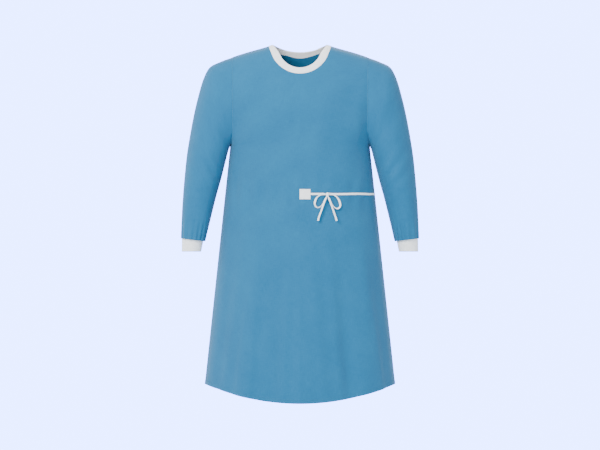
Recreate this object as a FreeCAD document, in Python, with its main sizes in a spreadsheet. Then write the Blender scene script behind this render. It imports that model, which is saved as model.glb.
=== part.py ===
"""Patient gown, as worn: hollow, open at the hem, neck, cuffs and back.

Millimetres. The origin is the middle of the neck opening, level with the highest points of the
neckband. +Z is up, +X is the wearer's left, and the wearer faces -Y.
"""
import FreeCAD, Part
import math
import os

Vector = FreeCAD.Vector
doc = FreeCAD.newDocument("patient_gown")
sheet = doc.addObject("Spreadsheet::Sheet", "dims")

# Driving dimensions: alias, millimetres (or degrees), meaning.
DIMENSIONS = [
    ("wall", 2, "thickness of a cloth solid"),
    ("lap_gap", 1, "air between the two back layers"),
    ("seam_gap", 0.4, "clearance at a seam between two bodies"),
    ("armhole_x", 225, "distance of the armhole seam from the middle"),
    ("armpit_drop", 334, "armpit below the neck points"),
    ("hem_radius", 787, "radius of the curved hem"),
    ("hem_arc_drop", 413, "centre of the hem curve below the neck points"),
    ("neck_front_radius", 73.3, "inner edge of the front neckband"),
    ("neck_front_rise", -1.7, "its centre above the neck points"),
    ("band_front_radius", 102.3, "outer edge of the front neckband"),
    ("band_front_rise", 7, "its centre above the neck points"),
    ("neck_back_radius", 179.4, "top edge of the back neckband"),
    ("neck_back_rise", 156, "its centre above the neck points"),
    ("band_back_radius", 193, "lower edge of the back neckband"),
    ("band_back_rise", 151, "its centre above the neck points"),
    ("back_edge_drop", 20, "start of the free back edges below the neck points"),
    ("outer_edge_x", 70, "free edge of the outer back panel at the neck"),
    ("inner_edge_x", -50, "free edge of the inner back panel at the neck"),
    ("edge_slant", 4.4, "slant of both free edges, degrees"),
    ("joggle", 12, "width of the step where the inner panel goes under the outer one"),
    ("tie_drop", 498, "waist tie below the neck points"),
    ("tie_width", 7, "width of the waist tie"),
    ("patch_x", 16.7, "centre of the tie patch"),
    ("patch_width", 36.4, "width of the tie patch"),
    ("patch_height", 34.4, "height of the tie patch"),
    ("belt_end_x", 84, "end of the belt on the outer back panel"),
    ("belt_patch", 26, "side of the belt's patch on the back"),
    ("knot_x", 91.2, "centre of the knot"),
    ("flap_drop", 525, "top of the free flap below the neck points"),
    ("flap_top_x", 85, "hinge line of the flap at its top"),
    ("flap_slant", 10.6, "slant of the flap's hinge line, degrees"),
    ("cap_x", 232, "lower end of the sleeve cap's edge, at the armpit"),
    ("cap_tilt", 44.5, "slant of the sleeve cap's edge, degrees"),
    ("elbow_x", 328, "elbow axis from the middle"),
    ("elbow_drop", 465, "elbow axis below the neck points"),
    ("elbow_reach", 66, "half length of the elbow section"),
    ("elbow_tilt", 8, "slant of the sleeve's cross-section at the elbow, degrees"),
    ("sleeve_end_x", 357, "middle of the sleeve's end"),
    ("sleeve_end_drop", 650, "sleeve's end below the neck points"),
    ("sleeve_end_tilt", 7, "slant of the sleeve's end, degrees"),
    ("cuff_top_half", 35.4, "half width of the cuff where it leaves the sleeve"),
    ("cuff_end_half", 30, "half width of the cuff's open end"),
    ("cuff_end_x", 364.5, "middle of the cuff's open end"),
    ("cuff_end_drop", 691, "cuff's open end below the neck points"),
    ("cuff_wall", 2.4, "thickness of the knit cuff"),
    ("tab_reach", 96, "free end of the neck tab"),
    ("inner_patch", 24, "side of the patches of the inner tie"),
    ("inner_patch_edge", 10, "from the inner panel's free edge to its patch"),
    ("belt_lap", 4, "length of the belt that lies under its patch"),
    ("knot_length", 10, "knot across the body"),
    ("knot_depth", 7, "knot from front to back"),
    ("knot_height", 11, "knot from top to bottom"),
    ("knot_front_y", -145.6, "front face of the knot"),
    ("knot_below", 6, "bottom of the knot under the middle of the tie"),
    ("knot_round", 2.5, "rounding of the knot"),
    ("cord_radius", 1.5, "radius of the solids that stand for the bow's tape"),
]

# Torso cross-sections: name, height, half width, half depth. All are ellipses across the body.
TORSO = [
    ("collar", 0, 90, 60),
    ("neckbase", -10, 120, 66),
    ("slope", -27, 184, 72),
    ("shoulder", -50, 251, 80),
    ("deltoid", -77, 296, 92),
    ("yoke", -120, 303, 108),
    ("chest", -190, 290, 126),
    ("underchest", -260, 262, 130),
    ("armpit", -334, 232, 135),
    ("skirt", -1215, 326.3, 200),
]
SHOULDER_SECTIONS = 5

# Sleeve cross-sections: name, outer edge x and z, inner edge x and z, half depth.
SLEEVE = [
    ("root", 200, -40, 200, -320, 75),
    ("cap", 300, -76, 236, -337, 80),
    ("biceps", 345, -190, 249, -392, 74),
    ("elbowtop", 374, -338, 263, -447, 67),
    ("forearm", 386, -440, 280, -508, 60),
    ("wrist", 394, -545, 298, -580, 51),
    ("mouth", 398, -645, 316, -655, 41),
    ("beyond", 400, -705, 327, -711, 36),
]
JOINING_SECTION = 3


def put(row, alias, value, meaning):
    sheet.set(f"A{row}", meaning)
    sheet.set(f"B{row}", str(value))
    sheet.setAlias(f"B{row}", alias)


row = 0
for alias, value, meaning in DIMENSIONS:
    row += 1
    put(row, alias, value, meaning)
for name, *values in TORSO:
    for part, value in zip(("height", "width", "depth"), values):
        row += 1
        put(row, f"{name}_{part}", value, f"torso {name}: {part}")
for name, *values in SLEEVE:
    for part, value in zip(("outerx", "outerz", "innerx", "innerz", "thick"), values):
        row += 1
        put(row, f"sleeve_{name}_{part}", value, f"sleeve {name}: {part}")
doc.recompute()


def size(alias):
    """The number in one cell of the sheet."""
    return float(getattr(sheet, alias))


def bind(item, **expressions):
    """Binds properties to the sheet. Double underscores stand for dots."""
    for name, expression in expressions.items():
        path = name.replace("__", ".")
        item.setExpression(f".{path}" if "." in path else path, expression)
    return item


def place(item, x="0", y="0", z="0"):
    return bind(item, Placement__Base__x=x, Placement__Base__y=y, Placement__Base__z=z)


def cut(name, base, tool):
    item = doc.addObject("Part::Cut", name)
    item.Base = base
    item.Tool = tool
    item.Refine = False
    return item


def common(name, *shapes):
    item = doc.addObject("Part::MultiCommon", name)
    item.Shapes = list(shapes)
    item.Refine = False
    return item


def fuse(name, *shapes):
    item = doc.addObject("Part::MultiFuse", name)
    item.Shapes = list(shapes)
    item.Refine = False
    return item


def loft(name, sections, ruled):
    item = doc.addObject("Part::Loft", name)
    item.Sections = sections
    item.Solid = True
    item.Ruled = ruled
    return item


def node(item, label):
    """Marks a finished sub-part."""
    item.Label = label
    nodes[label] = item
    return item


nodes = {}


# ---- outer shapes ----

def torso(name, inset):
    """The torso's outer shape, made smaller all round by inset, which is an expression."""
    sections = []
    for index, (station, *_) in enumerate(TORSO):
        oval = doc.addObject("Part::Ellipse", f"{name}_{station}")
        bind(oval, MajorRadius=f"dims.{station}_width - ({inset})",
             MinorRadius=f"dims.{station}_depth - ({inset})")
        drop = f" - ({inset})" if index < SHOULDER_SECTIONS else ""
        place(oval, z=f"dims.{station}_height{drop}")
        sections.append(oval)
    return loft(name, sections, True)


def sleeve(name, inset):
    """The left sleeve's outer shape, a tube of slanted ellipses."""
    sections = []
    for station, *_ in SLEEVE:
        key = f"dims.sleeve_{station}"
        oval = doc.addObject("Part::Ellipse", f"{name}_{station}")
        run_x = f"({key}_outerx - {key}_innerx)"
        run_z = f"({key}_outerz - {key}_innerz)"
        bind(oval, MajorRadius=f"sqrt({run_x}^2 + {run_z}^2) / 2 - ({inset})",
             MinorRadius=f"{key}_thick - ({inset})")
        oval.Placement = FreeCAD.Placement(Vector(), FreeCAD.Rotation(Vector(0, -1, 0), 5))
        place(oval, x=f"({key}_outerx + {key}_innerx) / 2", z=f"({key}_outerz + {key}_innerz) / 2")
        bind(oval, Placement__Rotation__Angle=f"atan2({run_z}; {run_x})")
        sections.append(oval)
    arm = loft(f"{name}_arm", sections[:JOINING_SECTION + 1], False)
    wrist = loft(f"{name}_wrist", sections[JOINING_SECTION:], False)
    return fuse(name, arm, wrist)


# ---- cutting shapes ----

FAR = 900


def block(name, low, high):
    """A box between two corners given as expressions."""
    item = doc.addObject("Part::Box", name)
    bind(item, Length=f"({high[0]}) - ({low[0]})", Width=f"({high[1]}) - ({low[1]})",
         Height=f"({high[2]}) - ({low[2]})")
    return place(item, *low)


def slanted(name, low, high, x, z, tilt, lean=1):
    """A box given by its corners about the point x, z of the front view, then turned about Y.

    With lean 1 its top face rises towards +X by tilt, and with lean -1 it falls by as much.
    """
    item = doc.addObject("Part::Box", f"{name}_box")
    item.Length = high[0] - low[0]
    item.Width = high[1] - low[1]
    item.Height = high[2] - low[2]
    item.Placement = FreeCAD.Placement(Vector(*low), FreeCAD.Rotation())
    turned = doc.addObject("Part::Compound", name)
    turned.Links = [item]
    turned.Placement = FreeCAD.Placement(Vector(), FreeCAD.Rotation(Vector(0, -lean, 0), 5))
    place(turned, x=x, z=z)
    bind(turned, Placement__Rotation__Angle=tilt)
    return turned


def below(name, x, z, tilt):
    """Everything under a line of the front view that rises towards +X."""
    return slanted(name, (-150, -FAR, -FAR), (FAR, FAR, 0), x, z, tilt)


def drum(name, radius, height, front):
    """A cylinder along Y that cuts the front half (front true) or the back half."""
    item = doc.addObject("Part::Cylinder", name)
    item.Height = FAR
    turn = 90 if front else -90
    item.Placement = FreeCAD.Placement(Vector(), FreeCAD.Rotation(Vector(1, 0, 0), turn))
    bind(item, Radius=radius)
    return place(item, z=height)


# ---- torso ----

shape = {label: torso(f"torso_{label}", inset) for label, inset in [
    ("outside", "0"),
    ("inside", "dims.wall"),
    ("lap_outside", "dims.wall + dims.lap_gap"),
    ("lap_inside", "2 * dims.wall + dims.lap_gap"),
    ("lining", "3 * dims.wall"),
    ("raised", "0 - dims.wall / 2"),
    ("pad", "0 - dims.wall"),
    ("tab_inside", "0 - dims.wall - dims.seam_gap"),
    ("tab_outside", "0 - 1.5 * dims.wall - dims.seam_gap"),
]}

front_half = block("front_half", (f"-{FAR}", f"-{FAR}", f"-2 * {FAR}"), (str(FAR), "0", str(FAR)))
back_half = block("back_half", (f"-{FAR}", "0", f"-2 * {FAR}"), (str(FAR), str(FAR), str(FAR)))
left_arm = block("left_arm", ("dims.armhole_x", f"-{FAR}", "0 - dims.armpit_drop"),
                 (str(FAR), str(FAR), str(FAR)))
right_arm = block("right_arm", (f"-{FAR}", f"-{FAR}", "0 - dims.armpit_drop"),
                  ("0 - dims.armhole_x", str(FAR), str(FAR)))
arms = fuse("arms", left_arm, right_arm)
hem_round = doc.addObject("Part::Cylinder", "hem_round")
hem_round.Height = 2 * FAR
hem_round.Placement = FreeCAD.Placement(Vector(0, FAR, 0), FreeCAD.Rotation(Vector(1, 0, 0), 90))
bind(hem_round, Radius="dims.hem_radius", Placement__Base__z="0 - dims.hem_arc_drop")

neck_front = drum("neck_front", "dims.neck_front_radius", "dims.neck_front_rise", True)
band_front = drum("band_front", "dims.band_front_radius", "dims.band_front_rise", True)
neck_back = drum("neck_back", "dims.neck_back_radius", "dims.neck_back_rise", False)
band_back = drum("band_back", "dims.band_back_radius", "dims.band_back_rise", False)


def layer(name, outer, inner, *limits):
    """The cloth between two sizes of the torso, kept inside the limits."""
    skin = cut(f"{name}_skin", shape[outer], shape[inner])
    return common(f"{name}_layer", skin, *limits)


front = layer("front", "outside", "inside", front_half, hem_round)
front = cut("front_armholes", front, arms)
node(cut("front_cut", front, band_front), "front_panel")

# ---- back: the outer panel laps over the inner one ----

LEFT_OF = ((0, -FAR, -2 * FAR), (FAR, FAR, FAR / 2))
RIGHT_OF = ((-FAR, -FAR, -2 * FAR), (0, FAR, FAR / 2))
EDGE_TOP = "0 - dims.back_edge_drop"
outer_edge = slanted("outer_edge", *RIGHT_OF, "dims.outer_edge_x", EDGE_TOP, "dims.edge_slant")
clear_edge = slanted("clear_edge", *LEFT_OF, "dims.outer_edge_x + dims.wall", EDGE_TOP,
                     "dims.edge_slant")
lap_edge = slanted("lap_edge", *RIGHT_OF, "dims.outer_edge_x + dims.wall + dims.joggle", EDGE_TOP,
                   "dims.edge_slant")
inner_edge = slanted("inner_edge", *LEFT_OF, "dims.inner_edge_x", EDGE_TOP, "dims.edge_slant", -1)


def lapped(name, outer, *limits):
    """A layer of the left back half: flush beside the outer panel, then a step in under it."""
    beside = layer(f"{name}_beside", outer, "inside", clear_edge, *limits)
    step = layer(f"{name}_step", outer, "lap_inside", clear_edge, lap_edge, *limits)
    under = layer(f"{name}_under", "lap_outside", "lap_inside", inner_edge, lap_edge, *limits)
    return fuse(f"{name}_whole", beside, step, under)


outer_back = layer("outer_back", "outside", "inside", back_half, hem_round, outer_edge)
outer_back = cut("outer_back_armhole", outer_back, arms)
outer_back = cut("outer_back_cut", outer_back, band_back)
flap_line = ("dims.flap_top_x", "0 - dims.flap_drop", "dims.flap_slant", -1)
flap_area = slanted("flap_area", (0, -FAR, -FAR), (FAR, FAR, 0), *flap_line)
flap_room = slanted("flap_room", (-1, -FAR, -FAR), (FAR, FAR, 1), *flap_line)
node(cut("outer_back_fixed", outer_back, flap_room), "back_panel_right")
node(common("flap_cut", outer_back, flap_area), "back_flap")

inner_back = lapped("inner_back", "outside", back_half, hem_round)
inner_back = cut("inner_back_armhole", inner_back, arms)
node(cut("inner_back_cut", inner_back, band_back), "back_panel_left")

# ---- neckband and its closure ----

COLLAR_LOW = "-110"
COLLAR_HIGH = "50"
collar_zone = block("collar_zone", (f"-{FAR}", f"-{FAR}", COLLAR_LOW),
                    (str(FAR), str(FAR), COLLAR_HIGH))
back_collar = (back_half, collar_zone, band_back)
band = layer("collar_front", "raised", "inside", front_half, collar_zone, band_front)
node(cut("collar_front_cut", band, neck_front), "neckband_front")
band = layer("collar_right", "raised", "inside", outer_edge, *back_collar)
node(cut("collar_right_cut", band, neck_back), "neckband_back_right")
band = lapped("collar_left", "raised", *back_collar)
node(cut("collar_left_cut", band, neck_back), "neckband_back_left")

pad_zone = block("pad_zone", ("dims.outer_edge_x + dims.wall", "0", COLLAR_LOW),
                 ("dims.tab_reach + dims.wall", str(FAR), COLLAR_HIGH))
pad = layer("loop_pad", "pad", "raised", pad_zone, band_back)
node(cut("loop_pad_cut", pad, neck_back), "neck_loop_pad")
tab_zone = block("tab_zone", ("dims.outer_edge_x - dims.joggle", "0", COLLAR_LOW),
                 ("dims.tab_reach", str(FAR), COLLAR_HIGH))
tab = layer("hook_tab", "tab_outside", "tab_inside", tab_zone, band_back)
node(cut("hook_tab_cut", tab, neck_back), "neck_tab")

# ---- waist tie ----


def strap_zone(name, low, high, width, rear=None):
    """A slab at the tie's height between two x values, on both sides or one side of the body."""
    near = "0" if rear else f"-{FAR}"
    far = "0" if rear is False else str(FAR)
    return block(name, (low, near, f"0 - dims.tie_drop - {width} / 2"),
                 (high, far, f"{width} / 2 - dims.tie_drop"))


knot_right = "dims.knot_x - dims.knot_length / 2"
knot_left = "dims.knot_x + dims.knot_length / 2"
patch_edges = [f"dims.patch_x {sign} dims.patch_width / 2" for sign in "-+"]
zone = strap_zone("patch_zone", *patch_edges, "dims.patch_height", False)
node(layer("patch", "raised", "outside", zone), "tie_patch")
zone = strap_zone("front_tie_zone", patch_edges[1], knot_right, "dims.tie_width", False)
node(layer("front_tie", "raised", "outside", zone), "front_tie")
belt_front = strap_zone("belt_front_zone", knot_left, str(FAR), "dims.tie_width")
belt_patch_edges = ("dims.belt_end_x - dims.belt_lap",
                    "dims.belt_end_x - dims.belt_lap + dims.belt_patch")
belt_rear = strap_zone("belt_rear_zone", belt_patch_edges[1], str(FAR), "dims.tie_width", True)
belt = fuse("belt_zone", common("belt_front_part", belt_front, front_half), belt_rear)
node(layer("belt", "raised", "outside", belt), "waist_belt")
zone = strap_zone("belt_patch_zone", *belt_patch_edges, "dims.belt_patch", True)
node(layer("belt_patch", "raised", "outside", zone), "belt_patch")
inner_left_edge = "dims.inner_edge_x - dims.inner_patch_edge"
zone = strap_zone("inner_left_zone", f"{inner_left_edge} - dims.inner_patch", inner_left_edge,
                  "dims.inner_patch", True)
node(layer("inner_left", "lap_inside", "lining", zone), "inner_tie_patch_left")
zone = block("inner_right_zone", (f"-{FAR}", "0 - dims.inner_patch / 2",
                                  "0 - dims.tie_drop - dims.inner_patch / 2"),
             ("0", "dims.inner_patch / 2", "dims.inner_patch / 2 - dims.tie_drop"))
node(layer("inner_right", "inside", "lap_outside", zone), "inner_tie_patch_right")

knot_box = doc.addObject("Part::Box", "knot_box")
bind(knot_box, Length="dims.knot_length", Width="dims.knot_depth", Height="dims.knot_height")
place(knot_box, x=knot_right, y="dims.knot_front_y", z="0 - dims.tie_drop - dims.knot_below")
knot = doc.addObject("Part::Fillet", "knot_rounded")
knot.Base = knot_box
BOX_EDGES = 12
rounding = size("knot_round")
knot.Edges = [(edge, rounding, rounding) for edge in range(1, BOX_EDGES + 1)]
node(knot, "tie_knot")

# ---- sleeves and cuffs ----

sleeve_outside = sleeve("sleeve_outside", "0")
sleeve_inside = sleeve("sleeve_inside", "dims.wall")
tube = cut("sleeve_tube", sleeve_outside, sleeve_inside)

cap_line = below("cap_line", "dims.cap_x", "0 - dims.armpit_drop", "dims.cap_tilt")
arm_line = below("arm_line", "dims.cap_x", "0 - dims.armpit_drop - 2 * dims.seam_gap",
                 "dims.cap_tilt")
REACH_X = "dims.elbow_reach * sin(dims.elbow_tilt)"
REACH_Z = "dims.elbow_reach * cos(dims.elbow_tilt)"
elbow_lines = []
for name, side, gap in [("upper_end", "+", "dims.seam_gap"), ("elbow_start", "+", "0"),
                        ("elbow_end", "-", "0"), ("lower_start", "-", "0 - dims.seam_gap")]:
    opposite = "-" if side == "+" else "+"
    elbow_lines.append(below(name, f"dims.elbow_x {opposite} {REACH_X}",
                             f"0 - dims.elbow_drop {side} {REACH_Z} + {gap}", "dims.elbow_tilt"))
upper_end, elbow_start, elbow_end, lower_start = elbow_lines
sleeve_end = below("sleeve_end", "dims.sleeve_end_x", "0 - dims.sleeve_end_drop",
                   "dims.sleeve_end_tilt")
end_fold = below("end_fold", "dims.sleeve_end_x", "0 - dims.sleeve_end_drop + dims.wall",
                 "dims.sleeve_end_tilt")


def cuff(name, inset):
    """The cuff's tapered oval, from inside the sleeve's end to its open end."""
    top = doc.addObject("Part::Ellipse", f"{name}_top")
    bind(top, MajorRadius=f"dims.cuff_top_half - ({inset})",
         MinorRadius=f"dims.cuff_top_half * 0.9 - ({inset})")
    place(top, x="dims.sleeve_end_x", z="10 - dims.sleeve_end_drop")
    end = doc.addObject("Part::Ellipse", f"{name}_end")
    bind(end, MajorRadius=f"dims.cuff_end_half - ({inset})",
         MinorRadius=f"dims.cuff_end_half * 0.9 - ({inset})")
    place(end, x="dims.cuff_end_x", z="0 - dims.cuff_end_drop")
    return loft(name, [top, end], True)


cuff_outside = cuff("cuff_outside", "0")
fold = cut("fold_ring", common("fold_disc", sleeve_outside, end_fold), sleeve_end)
fold = cut("fold_hole", fold, cuff_outside)


def cap_form(name, body, arm):
    """The solid form of the shoulder beyond the armhole: torso and sleeve together."""
    return fuse(name, common(f"{name}_body", body, left_arm), common(f"{name}_arm", arm, left_arm))


cap_skin = cut("cap_skin", cap_form("cap_outside", shape["outside"], sleeve_outside),
               cap_form("cap_inside", shape["inside"], sleeve_inside))
lower = cut("lower_tube", common("lower_part", tube, lower_start), sleeve_end)
left_side = {
    "sleeve_cap": cut("cap_cut", cap_skin, cap_line),
    "upper_sleeve": cut("upper_cut", common("upper_part", tube, arm_line), upper_end),
    "elbow_section": cut("elbow_cut", common("elbow_part", tube, elbow_start), elbow_end),
    "lower_sleeve": fuse("lower_whole", lower, fold),
    "cuff": cut("cuff_wall", cuff_outside, cuff("cuff_inside", "dims.cuff_wall")),
}
for label, item in left_side.items():
    node(item, f"left_{label}")
    twin = doc.addObject("Part::Mirroring", f"right_{label}_twin")
    twin.Source = item
    twin.Base = Vector()
    twin.Normal = Vector(1, 0, 0)
    node(twin, f"right_{label}")

# ---- bow: loops lie on the front panel, tails hang over them ----

BOW_ROUTES = {
    "bow_loop_right": [
        (85.2, -142.2, -500.5), (76, -144.2, -499.5), (67, -146.2, -501.5), (58.5, -148, -507),
        (52.5, -149.3, -515.5), (49, -150.4, -526), (49.5, -151.2, -535.5), (54.5, -151.2, -542.5),
        (62.5, -150.2, -544), (70, -148.6, -539.5), (76.5, -147, -531.5), (81.5, -145.4, -522),
        (85.5, -144.2, -513.5), (88.5, -143.4, -506.2)],
    "bow_loop_left": [
        (97.2, -141.2, -500.5), (106.5, -138.6, -499.5), (115.5, -136, -502), (123.5, -133.8, -508),
        (129.5, -132.2, -517), (134, -131, -527.5), (135, -131.4, -537.5), (130.5, -133.4, -545.5),
        (122.5, -136.2, -547.5), (114.5, -138.4, -542.5), (108, -139.8, -534), (102.5, -141, -524.5),
        (98, -142.6, -514.5), (94.5, -143.2, -506.2)],
    "bow_tail_right": [
        (89.4, -146.6, -506), (85.6, -147.8, -514), (81.4, -149.8, -524), (77.4, -151.4, -535),
        (73.6, -152.9, -546.5), (69.6, -154.2, -558), (65.2, -155.8, -569), (61.4, -157.4, -580),
        (60.6, -158.6, -587.5)],
    "bow_tail_left": [
        (93.1, -146.4, -506), (97.2, -146.2, -514), (101, -146.6, -524), (104.6, -146.4, -535),
        (108.8, -146.2, -546.5), (113, -145.6, -558), (116.6, -145.4, -569), (120.6, -145.2, -580),
        (122.6, -145.6, -587.5)],
}


def route_wire(points):
    """Straight runs joined by tangent arcs, as large as the runs beside them allow."""
    edges = []
    radii = []
    start = points[0]
    for before, corner, after in zip(points, points[1:], points[2:]):
        back = (before - corner).normalize()
        ahead = (after - corner).normalize()
        turn = math.pi - back.getAngle(ahead)
        reach = 0.45 * min((before - corner).Length, (after - corner).Length)
        radius = reach / math.tan(turn / 2)
        inward = (back + ahead).normalize()
        middle = corner + inward * (radius / math.cos(turn / 2) - radius)
        first = corner + back * reach
        last = corner + ahead * reach
        edges.append(Part.LineSegment(start, first).toShape())
        edges.append(Part.Arc(first, middle, last).toShape())
        radii.append(round(radius, 1))
        start = last
    edges.append(Part.LineSegment(start, points[-1]).toShape())
    return Part.Wire(edges), radii


def tape(label, route):
    """A round tube along the middle line of one of the bow's tapes."""
    points = [Vector(*point) for point in route]
    wire, radii = route_wire(points)
    radius = size("cord_radius")
    ring = Part.Wire(Part.makeCircle(radius, points[0], points[1] - points[0]))
    item = doc.addObject("Part::Feature", label)
    item.Shape = wire.makePipeShell([ring], True, True)
    item.Placement = FreeCAD.Placement()
    whole = math.pi * radius ** 2 * wire.Length
    print(label, "length", round(wire.Length, 1), "volume/expected",
          round(item.Shape.Volume / whole, 4), "radii", radii)
    return node(item, label)


for label, route in BOW_ROUTES.items():
    tape(label, route)

# ---- check and write ----

doc.recompute()
for item in doc.Objects:
    if {"Invalid", "Error"} & set(item.State):
        raise RuntimeError(f"{item.Name} failed: {item.State} {item.getStatusString()}")
os.makedirs("parts", exist_ok=True)
for label, item in nodes.items():
    if item.Shape.isNull() or not item.Shape.isValid() or not item.Shape.Solids:
        raise RuntimeError(f"{label} has no valid solid")
    item.Shape.exportStep(f"parts/{label}.step")
    box = item.Shape.BoundBox
    print(f"{label}: {len(item.Shape.Solids)} solid(s), {item.Shape.Volume / 1000:.1f} cm3,",
          f"x {box.XMin:.1f} {box.XMax:.1f}, y {box.YMin:.1f} {box.YMax:.1f},",
          f"z {box.ZMin:.1f} {box.ZMax:.1f}")
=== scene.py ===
"""Looks of the patient gown: cloth, rib knit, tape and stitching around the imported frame."""
import math

import bmesh
import bpy
import numpy as np
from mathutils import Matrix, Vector


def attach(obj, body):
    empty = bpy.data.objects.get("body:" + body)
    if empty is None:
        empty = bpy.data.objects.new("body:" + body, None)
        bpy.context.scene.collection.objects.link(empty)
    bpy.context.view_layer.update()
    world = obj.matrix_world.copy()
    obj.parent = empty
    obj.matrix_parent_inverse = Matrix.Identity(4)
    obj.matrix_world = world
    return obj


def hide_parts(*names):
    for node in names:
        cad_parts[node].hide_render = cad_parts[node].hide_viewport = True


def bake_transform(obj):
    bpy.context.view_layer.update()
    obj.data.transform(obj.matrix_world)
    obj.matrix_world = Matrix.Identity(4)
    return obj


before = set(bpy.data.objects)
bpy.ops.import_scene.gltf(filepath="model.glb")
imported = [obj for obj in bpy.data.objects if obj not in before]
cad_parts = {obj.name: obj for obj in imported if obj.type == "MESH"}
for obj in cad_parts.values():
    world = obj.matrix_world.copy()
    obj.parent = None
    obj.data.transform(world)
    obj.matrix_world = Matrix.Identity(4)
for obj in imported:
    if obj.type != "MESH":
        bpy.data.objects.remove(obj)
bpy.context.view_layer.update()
MM = 0.001

# ---- the gown's form, in millimetres: the same stations as the CAD part ----

# height, half width, half depth of the torso
TORSO = np.array([
    (0, 90, 60), (-10, 120, 66), (-27, 184, 72), (-50, 251, 80), (-77, 296, 92),
    (-120, 303, 108), (-190, 290, 126), (-260, 262, 130), (-334, 232, 135), (-1215, 326.3, 200),
], float)[::-1]
ARMPIT_Z = -334
ARMPIT_X = 232
ARMHOLE_X = 225
SHOULDER_Z = -41
HEM_SIDE_Z = -1133
HEM_RADIUS = 787
HEM_ARC_Z = -413
# neckband edges: radius, and height of the circle's centre
FRONT_BAND = (102.3, 7)
FRONT_NECK = (73.3, -1.7)
BACK_BAND = (193, 151)
BACK_NECK = (179.4, 156)
BAND_SIDE_X = 104.5
BAND_TOP_X = 88.6
# free edges of the back panels
EDGE_TOP_Z = -20
EDGE_SLANT = math.tan(math.radians(4.4))
OUTER_EDGE_X = 70
INNER_EDGE_X = -50
TIE_Z = -498
LAP_INSET = 4.2

LEVELS = np.arange(-1300, 41.0)


def softened(values, reach):
    """Straight runs between the stations, with the corners rounded over a reach in millimetres."""
    line = np.interp(LEVELS, TORSO[:, 0], values)
    rise = (values[-1] - values[-2]) / (TORSO[-1, 0] - TORSO[-2, 0])
    line = np.where(LEVELS > 0, values[-1] + LEVELS * rise, line)
    weights = np.exp(-(np.arange(-60, 61) / reach) ** 2 / 2)
    longer = np.pad(line, 60, mode="reflect", reflect_type="odd")
    return np.convolve(longer, weights / weights.sum(), mode="valid")


WIDTHS = softened(TORSO[:, 1], 6)
DEPTHS = softened(TORSO[:, 2], 20)


def torso_size(z):
    """Half width and half depth of the torso at a height."""
    return np.interp(z, LEVELS, WIDTHS), np.interp(z, LEVELS, DEPTHS)


def on_torso(x, z, side, out=0.0):
    """The point of the torso's surface at x, z of the front view. side is -1 in front, 1 behind.

    out moves it off the surface, outwards in the horizontal plane.
    """
    wide, deep = torso_size(z)
    share = np.clip(x / wide, -1, 1)
    y = deep * np.sqrt(1 - share ** 2)
    normal_x, normal_y = x / wide ** 2, y / deep ** 2
    length = np.sqrt(normal_x ** 2 + normal_y ** 2) + 1e-9
    return join(x + out * normal_x / length, side * (y + out * normal_y / length),
                np.broadcast_to(z, np.shape(x)) + 0.0 * x)


def torso_normal(points):
    """Outward level direction of the torso at points on or near its surface."""
    wide, deep = torso_size(points[:, 2])
    return unit(join(points[:, 0] / wide ** 2, points[:, 1] / deep ** 2, np.zeros(len(points))))


def side_x(z):
    """Half width of a body panel at its side seam or armhole."""
    z = np.asarray(z, float)
    wide, _ = torso_size(z)
    armhole = np.interp(z, [ARMPIT_Z, ARMPIT_Z + 50, SHOULDER_Z], [ARMPIT_X, ARMHOLE_X, ARMHOLE_X])
    return np.where(z <= ARMPIT_Z, wide, np.minimum(armhole, wide))


# ---- camera, light and stage ----

VIEW_WIDTH = 2.0056
VIEW_CENTRE_Z = -0.6017
FLOOR_Z = -1.45
BACKDROP = (3.0, 4.6, 14.0, 1)
SOFT_LIGHT = (0.90, 0.95, 1.0, 1)
FLOOR_COLOUR = (0.72, 0.79, 0.88, 1)


def add_object(name, data):
    item = bpy.data.objects.new(name, data)
    bpy.context.scene.collection.objects.link(item)
    return item


def add_light(name, place, target, size, power, tint):
    data = bpy.data.lights.new(name, "AREA")
    data.shape = "DISK"
    data.size = size
    data.energy = power
    data.color = tint
    lamp = add_object(name, data)
    lamp.location = place
    lamp.rotation_euler = (Vector(target) - Vector(place)).to_track_quat("-Z", "Y").to_euler()


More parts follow.
